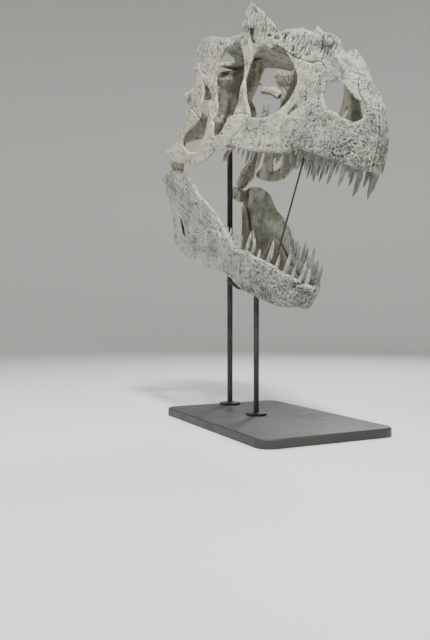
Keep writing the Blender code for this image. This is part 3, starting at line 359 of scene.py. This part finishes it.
    # Marks for the colours
    flat = s.spread(s.q, 7)
    hollow = ((flat - s.q) * s.n).sum(1)
    seam = np.zeros(len(q))
    if kind in ("premaxilla", "nasal", "dentary"):
        seam = step(3.6, 1.2, y) * (s.n[:, 0] > -0.5)
    # The hollow mark is high in concave places and along the midline seam; the material darkens these as
    # painted shade, and pales convex places as wear and painted highlight
    s.mark("hollow", 0.5 + hollow * 0.42 + 0.4 * seam)
    # The low mark is high where the surface lies below its surroundings; the material darkens these as painted
    # shade
    low = height - s.spread(height, 14)
    s.mark("low", 0.5 - low * 0.34)
    s.mark("enamel", teeth)
    # Teal is the fossil's own blue-green tint; on the lower front of the maxilla and the dentary it also stands
    # for painted shade
    teal = np.zeros(len(q))
    if kind in ("maxilla", "premaxilla"):
        teal = step(560, 700, x) * step(200, 130, z) + 0.5 * step(760, 690, x) * step(640, 700,
                                                                                      x) * step(170, 200, z)
    elif kind == "dentary":
        teal = 0.2 + 0.8 * step(530, 670, x)
    elif kind == "surangular":
        teal = 0.05 + 0.3 * step(-10, -60, z)
    elif kind == "angular":
        teal = np.full(len(q), 0.2)
    elif kind == "nasal":
        teal = 0.15 + 0.3 * step(690, 730, x)
    cream = np.zeros(len(q))
    if kind in ("quadratojugal", "squamosal", "quadrate", "prearticular", "splenial", "articular"):
        cream = np.full(len(q), 0.85)
    elif kind == "jugal":
        cream = 0.8 * step(290, 200, x)
    elif kind in ("pterygoid", "palatine", "ectopterygoid", "braincase", "vomer", "postorbital"):
        cream = np.full(len(q), 0.4)
    cream = np.maximum(cream, 0.8 * (1.0 - outward))
    s.mark("teal", teal * (0.75 + 0.8 * fractal(q, 38.0, 3, 101.0)) * (1.0 - teeth))
    s.mark("cream", cream * (0.8 + 0.5 * fractal(q, 50.0, 2, 103.0)))
    s.mark("rugged", rugged * bone)
    s.mesh.shade_smooth()
    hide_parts(node)
    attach(s.piece, "root")
    return s


# Materials
def new_material(name):
    """New node material with its nodes, its links and its shader."""
    made = bpy.data.materials.new(name)
    made.use_nodes = True
    nodes = made.node_tree.nodes
    return made, nodes, made.node_tree.links, nodes["Principled BSDF"]


def value_of(nodes, name):
    """Colour mark of the mesh as a number."""
    node = nodes.new("ShaderNodeAttribute")
    node.attribute_name = name
    return node.outputs["Fac"]


def noise_node(nodes, links, coords, scale, detail=4.0, rough=0.55, distortion=0.0, stretch=None):
    """Noise texture over the given coordinates."""
    node = nodes.new("ShaderNodeTexNoise")
    node.inputs["Scale"].default_value = scale
    node.inputs["Detail"].default_value = detail
    node.inputs["Roughness"].default_value = rough
    node.inputs["Distortion"].default_value = distortion
    source = coords
    if stretch:
        mapping = nodes.new("ShaderNodeMapping")
        mapping.inputs["Scale"].default_value = stretch
        links.new(coords, mapping.inputs["Vector"])
        source = mapping.outputs["Vector"]
    links.new(source, node.inputs["Vector"])
    return node.outputs["Fac"]


def ramp(nodes, links, source, low, high, low_value=0.0, high_value=1.0):
    """Smooth rise of a value between two limits, level outside them."""
    node = nodes.new("ShaderNodeMapRange")
    node.interpolation_type = "SMOOTHSTEP"
    node.inputs["From Min"].default_value = low
    node.inputs["From Max"].default_value = high
    node.inputs["To Min"].default_value = low_value
    node.inputs["To Max"].default_value = high_value
    links.new(source, node.inputs["Value"])
    return node.outputs["Result"]


def mix(nodes, links, factor, first, second, mode="MIX"):
    """Mix of two colours, each a constant or a socket."""
    node = nodes.new("ShaderNodeMix")
    node.data_type = "RGBA"
    node.blend_type = mode
    if isinstance(factor, float):
        node.inputs["Factor"].default_value = factor
    else:
        links.new(factor, node.inputs["Factor"])
    for socket, value in (("A", first), ("B", second)):
        where = [i for i in node.inputs if i.name == socket and i.type == "RGBA"][0]
        if isinstance(value, tuple):
            where.default_value = value + (1.0,)
        else:
            links.new(value, where)
    return [o for o in node.outputs if o.type == "RGBA"][0]


def join(nodes, links, kind, first, second):
    """Sum, product or other operation of two numbers or sockets."""
    node = nodes.new("ShaderNodeMath")
    node.operation = kind
    for index, value in enumerate((first, second)):
        if isinstance(value, (int, float)):
            node.inputs[index].default_value = value
        else:
            links.new(value, node.inputs[index])
    return node.outputs["Value"]


def bone_material(name, light, dark, warm, tooth_light, tooth_dark):
    """Weathered bone: mottled, speckled, darkened in its hollows as painted shade, paled on its ridges by wear
    and painted highlight, cracked, with enamel on the teeth.
    """
    made, nodes, links, shader = new_material(name)
    coords = nodes.new("ShaderNodeTexCoord").outputs["Object"]
    hollow = value_of(nodes, "hollow")
    low = value_of(nodes, "low")
    teal = value_of(nodes, "teal")
    cream = value_of(nodes, "cream")
    enamel = value_of(nodes, "enamel")
    rugged = value_of(nodes, "rugged")

    broad = noise_node(nodes, links, coords, 14.0, 5.0, 0.6, 0.4)
    middle = noise_node(nodes, links, coords, 62.0, 5.0, 0.65, 0.3)
    fine = noise_node(nodes, links, coords, 330.0, 4.0, 0.7)
    speck = noise_node(nodes, links, coords, 620.0, 3.0, 0.75)

    colour = mix(nodes, links, ramp(nodes, links, broad, 0.4, 0.66, 0.0, 0.5), light, dark)
    colour = mix(nodes, links, ramp(nodes, links, middle, 0.48, 0.66, 0.0, 0.75), colour, dark)
    colour = mix(nodes, links, ramp(nodes, links, middle, 0.46, 0.3, 0.0, 0.5), colour, warm)
    colour = mix(nodes, links, join(nodes, links, "MULTIPLY", cream, 0.55), colour, warm)
    # Teal: the fossil's own blue-green tint, which on the lower front of the maxilla and the dentary is also
    # painted shade
    teal_here = join(nodes, links, "MULTIPLY", teal, ramp(nodes, links, middle, 0.36, 0.6, 0.35, 1.0))
    colour = mix(nodes, links, join(nodes, links, "MULTIPLY", teal_here, 0.9), colour, (0.055, 0.097, 0.087))
    # Painted shade darkens the hollows, the midline seam and the low places, and the high places are paled by
    # wear and painted highlight
    painted_shade_hollows = ramp(nodes, links, hollow, 0.54, 0.8)
    colour = mix(nodes, links, join(nodes, links, "MULTIPLY", painted_shade_hollows, 0.85), colour, (0.045, 0.043, 0.04))
    painted_shade_low = ramp(nodes, links, low, 0.6, 0.95)
    colour = mix(nodes, links, join(nodes, links, "MULTIPLY", painted_shade_low, 0.7), colour, (0.085, 0.085, 0.08))
    # Convex places are paled, partly as wear and partly as painted highlight
    wear_and_painted_highlight = ramp(nodes, links, hollow, 0.47, 0.3)
    colour = mix(nodes, links, join(nodes, links, "MULTIPLY", wear_and_painted_highlight, 0.4), colour, (0.66, 0.65, 0.59))
    # Speckles and cracks
    specks = ramp(nodes, links, speck, 0.6, 0.7)
    patchy = ramp(nodes, links, middle, 0.4, 0.6, 0.25, 1.0)
    specks = join(nodes, links, "MULTIPLY", specks, patchy)
    colour = mix(nodes, links, join(nodes, links, "MULTIPLY", specks, 0.5), colour, (0.07, 0.07, 0.065))
    grainy = ramp(nodes, links, fine, 0.43, 0.62, 0.0, 0.62)
    colour = mix(nodes, links, grainy, colour, dark)
    pale = ramp(nodes, links, fine, 0.44, 0.3, 0.0, 0.5)
    not_teal = join(nodes, links, "SUBTRACT", 1.0, join(nodes, links, "MULTIPLY", teal, 0.6))
    pale = join(nodes, links, "MULTIPLY", pale, not_teal)
    colour = mix(nodes, links, join(nodes, links, "MULTIPLY", pale, patchy), colour, (0.70, 0.69, 0.63))

    warp = nodes.new("ShaderNodeTexNoise")
    warp.inputs["Scale"].default_value = 30.0
    warp.inputs["Detail"].default_value = 4.0
    links.new(coords, warp.inputs["Vector"])
    shift = nodes.new("ShaderNodeVectorMath")
    shift.operation = "SCALE"
    shift.inputs["Scale"].default_value = 0.03
    links.new(warp.outputs["Color"], shift.inputs["Vector"])
    bent = nodes.new("ShaderNodeVectorMath")
    bent.operation = "ADD"
    links.new(coords, bent.inputs[0])
    links.new(shift.outputs["Vector"], bent.inputs[1])
    cells = nodes.new("ShaderNodeTexVoronoi")
    cells.feature = "DISTANCE_TO_EDGE"
    cells.inputs["Scale"].default_value = 19.0
    links.new(bent.outputs["Vector"], cells.inputs["Vector"])
    crack = ramp(nodes, links, cells.outputs["Distance"], 0.030, 0.006)
    crack = join(nodes, links, "MULTIPLY", crack, ramp(nodes, links, broad, 0.5, 0.6))
    crack = join(nodes, links, "MULTIPLY", crack, join(nodes, links, "SUBTRACT", 1.0, enamel))
    colour = mix(nodes, links, join(nodes, links, "MULTIPLY", crack, 0.8), colour, (0.04, 0.04, 0.038))

    # Teeth: grey brown enamel with darker bands
    bands = noise_node(nodes, links, coords, 120.0, 4.0, 0.6, 0.6, (1.0, 1.0, 0.25))
    tooth = mix(nodes, links, ramp(nodes, links, bands, 0.38, 0.64), tooth_light, tooth_dark)
    colour = mix(nodes, links, join(nodes, links, "MULTIPLY", enamel, 0.9), colour, tooth)
    links.new(colour, shader.inputs["Base Color"])

    gloss = ramp(nodes, links, middle, 0.35, 0.65, 0.6, 0.82)
    gloss = join(nodes, links, "SUBTRACT", gloss, join(nodes, links, "MULTIPLY", enamel, 0.28))
    links.new(gloss, shader.inputs["Roughness"])

    relief = join(nodes, links, "MULTIPLY", fine, 0.5)
    relief = join(nodes, links, "ADD", relief, join(nodes, links, "MULTIPLY", speck, 0.35))
    relief = join(nodes, links, "ADD", relief, join(nodes, links, "MULTIPLY", middle, 1.2))
    scale = join(nodes, links, "ADD", 0.55, rugged)
    relief = join(nodes, links, "MULTIPLY", relief, scale)
    relief = join(nodes, links, "SUBTRACT", relief, join(nodes, links, "MULTIPLY", crack, 0.9))
    relief = join(nodes, links, "MULTIPLY", relief, join(nodes, links, "SUBTRACT", 1.15, enamel))
    bump = nodes.new("ShaderNodeBump")
    bump.inputs["Strength"].default_value = 1.0
    bump.inputs["Distance"].default_value = 0.0034
    links.new(relief, bump.inputs["Height"])
    links.new(bump.outputs["Normal"], shader.inputs["Normal"])
    return made


def painted(name, colour, edge, rough_low, rough_high, scale, metal=0.0):
    """Paint with a faint orange peel and worn, dusty patches."""
    made, nodes, links, shader = new_material(name)
    coords = nodes.new("ShaderNodeTexCoord").outputs["Object"]
    patch = noise_node(nodes, links, coords, scale, 5.0, 0.6)
    peel = noise_node(nodes, links, coords, scale * 26.0, 2.0, 0.5)
    links.new(mix(nodes, links, ramp(nodes, links, patch, 0.4, 0.72), colour, edge),
              shader.inputs["Base Color"])
    links.new(ramp(nodes, links, patch, 0.35, 0.7, rough_low, rough_high), shader.inputs["Roughness"])
    shader.inputs["Metallic"].default_value = metal
    bump = nodes.new("ShaderNodeBump")
    bump.inputs["Strength"].default_value = 0.12
    bump.inputs["Distance"].default_value = 0.0006
    links.new(peel, bump.inputs["Height"])
    links.new(bump.outputs["Normal"], shader.inputs["Normal"])
    return made


# The upper teeth get much darker enamel than the lower teeth, as painted shade
SKULL_LOOK = bone_material("weathered_skull_bone", (0.50, 0.49, 0.41), (0.09, 0.108, 0.098),
                           (0.42, 0.39, 0.29),
                           (0.17, 0.17, 0.152), (0.055, 0.058, 0.054))
JAW_LOOK = bone_material("weathered_jaw_bone", (0.47, 0.475, 0.41), (0.075, 0.10, 0.092), (0.40, 0.38, 0.29),
                         (0.36, 0.36, 0.325), (0.12, 0.128, 0.12))
# The inner bones get a darker copy of the bone colours, as painted shade for the skull's interior
INNER_SHADED_LOOK = bone_material("inner_bone_painted_shade", (0.24, 0.22, 0.175), (0.085, 0.08, 0.068),
                           (0.25, 0.22, 0.165),
                           (0.42, 0.42, 0.38), (0.15, 0.16, 0.15))
BASE_LOOK = painted("matt_dark_paint", (0.022, 0.022, 0.024), (0.038, 0.037, 0.036), 0.42, 0.62, 9.0)
STEEL_LOOK = painted("black_rod_paint", (0.035, 0.035, 0.037), (0.06, 0.06, 0.062), 0.3, 0.5, 22.0, 0.6)

SLOT_LOOKS = {"skull_bone": SKULL_LOOK, "jaw_bone": JAW_LOOK, "inner_bone": INNER_SHADED_LOOK}
SLOT_OF = {part["node"]: part["material_slot"] for part in frame["record"]["subparts"]}

for node in sorted(NODES):
    if node.startswith("stand_"):
        look = BASE_LOOK if node == "stand_base" else STEEL_LOOK
        NODES[node].data.materials.clear()
        NODES[node].data.materials.append(look)
        continue
    made = weather(node)
    made.mesh.materials.clear()
    made.mesh.materials.append(SLOT_LOOKS[SLOT_OF[node]])


# Stage, in metres
FLOOR_FLAT = 4.2
FLOOR_CURVE = 1.6
WALL_TOP = 5.2
FLOOR_SIDES = 96
FLOOR_COLOUR = (0.72, 0.72, 0.71, 1.0)
WORLD_COLOUR = (0.72, 0.76, 0.8, 1.0)
WORLD_STRENGTH = 0.2
SKULL_MIDDLE = (0.1, 0.0, 0.85)


def stage_floor():
    """Pale floor that rises into a plain wall all round."""
    flat = FLOOR_FLAT
    curve = FLOOR_CURVE
    profile = [(0.0, 0.0), (1.2, 0.0), (2.6, 0.0), (flat, 0.0)]
    for angle in np.linspace(0.12, math.pi / 2, 12):
        profile.append((flat + curve * math.sin(angle), curve - curve * math.cos(angle)))
    profile += [(flat + curve, WALL_TOP)]
    sides = FLOOR_SIDES
    verts = [(0.0, 0.0, 0.0)]
    for reach, height in profile[1:]:
        for k in range(sides):
            turn = 2 * math.pi * k / sides
            verts.append((reach * math.cos(turn), reach * math.sin(turn), height))
    faces = [(0, 1 + k, 1 + (k + 1) % sides) for k in range(sides)]
    for ring in range(len(profile) - 2):
        low = 1 + ring * sides
        for k in range(sides):
            j = (k + 1) % sides
            faces.append((low + k, low + sides + k, low + sides + j, low + j))
    mesh = bpy.data.meshes.new("floor")
    mesh.from_pydata(verts, [], faces)
    mesh.shade_smooth()
    floor = bpy.data.objects.new("floor", mesh)
    scene.collection.objects.link(floor)
    made, nodes, links, shader = new_material("pale_floor")
    shader.inputs["Base Color"].default_value = FLOOR_COLOUR
    shader.inputs["Roughness"].default_value = 0.85
    mesh.materials.append(made)


def area_light(name, place, target, size, power, colour=(1.0, 1.0, 1.0)):
    """Square lamp at a place, aimed at a target."""
    lamp = bpy.data.lights.new(name, "AREA")
    lamp.shape = "SQUARE"
    lamp.size = size
    lamp.energy = power
    lamp.color = colour
    light = bpy.data.objects.new(name, lamp)
    scene.collection.objects.link(light)
    light.location = place
    light.rotation_euler = (Vector(target) - Vector(place)).to_track_quat("-Z", "Y").to_euler()


stage_floor()
area_light("key", (1.5, -0.45, 3.1), SKULL_MIDDLE, 0.35, 190.0, (1.0, 0.98, 0.93))
area_light("side", (-0.7, -2.4, 2.1), (-0.1, 0.0, 0.85), 0.4, 42.0, (1.0, 0.985, 0.94))
area_light("fill", (1.7, -1.6, 0.5), (0.0, 0.0, 0.7), 1.8, 3.0, (0.9, 0.95, 1.0))
area_light("back", (-1.9, 1.9, 2.3), (-0.1, 0.0, 0.85), 0.6, 60.0, (1.0, 0.985, 0.95))
world = bpy.data.worlds.new("studio")
scene.world = world
world.use_nodes = True
world.node_tree.nodes["Background"].inputs["Color"].default_value = WORLD_COLOUR
world.node_tree.nodes["Background"].inputs["Strength"].default_value = WORLD_STRENGTH

# Camera at the photograph's place: level, 35 mm on a 36 mm long side
CAMERA_PLACE = (1.547, -0.915, 0.300)
CAMERA_LOOK = (-0.9014, 0.4330, 0.0)
lens = bpy.data.cameras.new("camera")
lens.sensor_width = 36.0
lens.sensor_fit = "AUTO"
lens.lens = 35.0
camera = bpy.data.objects.new("camera", lens)
scene.collection.objects.link(camera)
camera.location = CAMERA_PLACE
camera.rotation_euler = Vector(CAMERA_LOOK).to_track_quat("-Z", "Y").to_euler()
scene.camera = camera
